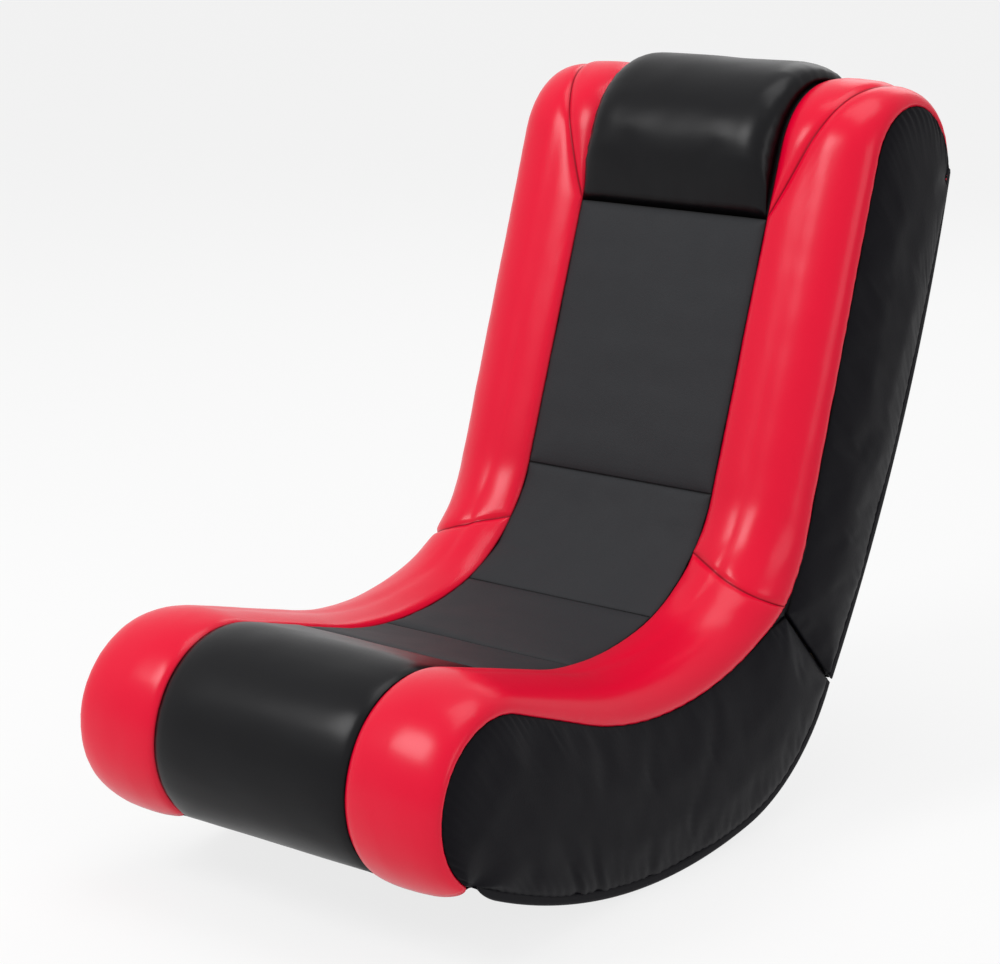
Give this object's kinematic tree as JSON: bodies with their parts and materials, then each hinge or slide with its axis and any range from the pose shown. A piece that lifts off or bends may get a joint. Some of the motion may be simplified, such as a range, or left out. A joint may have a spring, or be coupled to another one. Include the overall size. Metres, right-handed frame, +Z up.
{
  "type": "gaming rocker chair",
  "caption": "Low padded rocker for sitting on the floor: a deep back folds down over a curved rocking seat with a fat front roll, side bolsters and a head cushion",
  "frame": {"origin": "on the floor, under the middle of the chair's bounding box", "axes": "+Z up, the sitter faces -Y, +X is the sitter's left"},
  "size_m": [0.42, 0.8058, 0.6965],
  "materials": {
    "red_leathercloth": "smooth coated leathercloth with a soft sheen",
    "gloss_black_leathercloth": "smooth coated leathercloth with a clear sheen",
    "matt_black_leathercloth": "fine-grained leathercloth, nearly matt",
    "black_leathercloth": "smooth leathercloth, low sheen",
    "upholstery_foam": "open-cell polyurethane foam",
    "elastic_webbing": "woven elastic straps",
    "hook_and_loop_tape": "woven hook-and-loop tape",
    "zinc_plated_steel": "zinc-plated pressed steel",
    "hardboard": "smooth brown hardboard",
    "softwood": "planed softwood",
    "plywood": "sanded plywood"
  },
  "bodies": {
    "seat_section": {"base_cover": "black_leathercloth", "base_panel": "plywood", "base_welt_left": "black_leathercloth", "base_welt_right": "black_leathercloth", "crease_bolster_cover_left": "red_leathercloth", "crease_bolster_cover_right": "red_leathercloth", "crease_cushion": "upholstery_foam", "crease_panel": "matt_black_leathercloth", "hinge_pin_left": "zinc_plated_steel", "hinge_pin_right": "zinc_plated_steel", "nose_lining": "black_leathercloth", "nose_panel": "gloss_black_leathercloth", "seat_bolster_cover_left": "red_leathercloth", "seat_bolster_cover_right": "red_leathercloth", "seat_end_cover": "black_leathercloth", "seat_foam": "upholstery_foam", "seat_front_panel": "matt_black_leathercloth", "seat_front_rail": "softwood", "seat_hinge_leaf_left": "zinc_plated_steel", "seat_hinge_leaf_right": "zinc_plated_steel", "seat_hinge_rail": "softwood", "seat_hinge_screws": "zinc_plated_steel", "seat_middle_rail": "softwood", "seat_rear_panel": "matt_black_leathercloth", "seat_side_board_left": "plywood", "seat_side_board_right": "plywood", "seat_side_cover_left": "black_leathercloth", "seat_side_cover_right": "black_leathercloth", "seat_side_wadding_left": "upholstery_foam", "seat_side_wadding_right": "upholstery_foam", "seat_webbing": "elastic_webbing"},
    "back_section": {"back_bolster_cover_left": "red_leathercloth", "back_bolster_cover_right": "red_leathercloth", "back_end_cover": "black_leathercloth", "back_foam": "upholstery_foam", "back_hinge_leaf_left": "zinc_plated_steel", "back_hinge_leaf_right": "zinc_plated_steel", "back_hinge_rail": "softwood", "back_hinge_screws": "zinc_plated_steel", "back_middle_rail": "softwood", "back_panel": "matt_black_leathercloth", "back_side_board_left": "plywood", "back_side_board_right": "plywood", "back_side_cover_left": "black_leathercloth", "back_side_cover_right": "black_leathercloth", "back_side_wadding_left": "upholstery_foam", "back_side_wadding_right": "upholstery_foam", "back_top_rail": "softwood", "back_webbing": "elastic_webbing", "closing_flap": "black_leathercloth", "flap_hook_tape": "hook_and_loop_tape", "flap_loop_tape": "hook_and_loop_tape", "head_bolster_cover_left": "red_leathercloth", "head_bolster_cover_right": "red_leathercloth", "head_cushion_cover": "gloss_black_leathercloth", "head_cushion_foam": "upholstery_foam", "rear_board": "hardboard", "rear_cover": "black_leathercloth", "rear_welt_left": "black_leathercloth", "rear_welt_right": "black_leathercloth"}
  },
  "joints": [
    {"name": "back_fold", "type": "hinge", "parent": "seat_section", "child": "back_section", "pos_m": [0, 0.1201, 0.202], "axis": [1, 0, 0], "range_deg": [0, 97.5], "deforming": ["crease_cushion", "crease_panel", "crease_bolster_cover_left", "crease_bolster_cover_right"]}
  ]
}
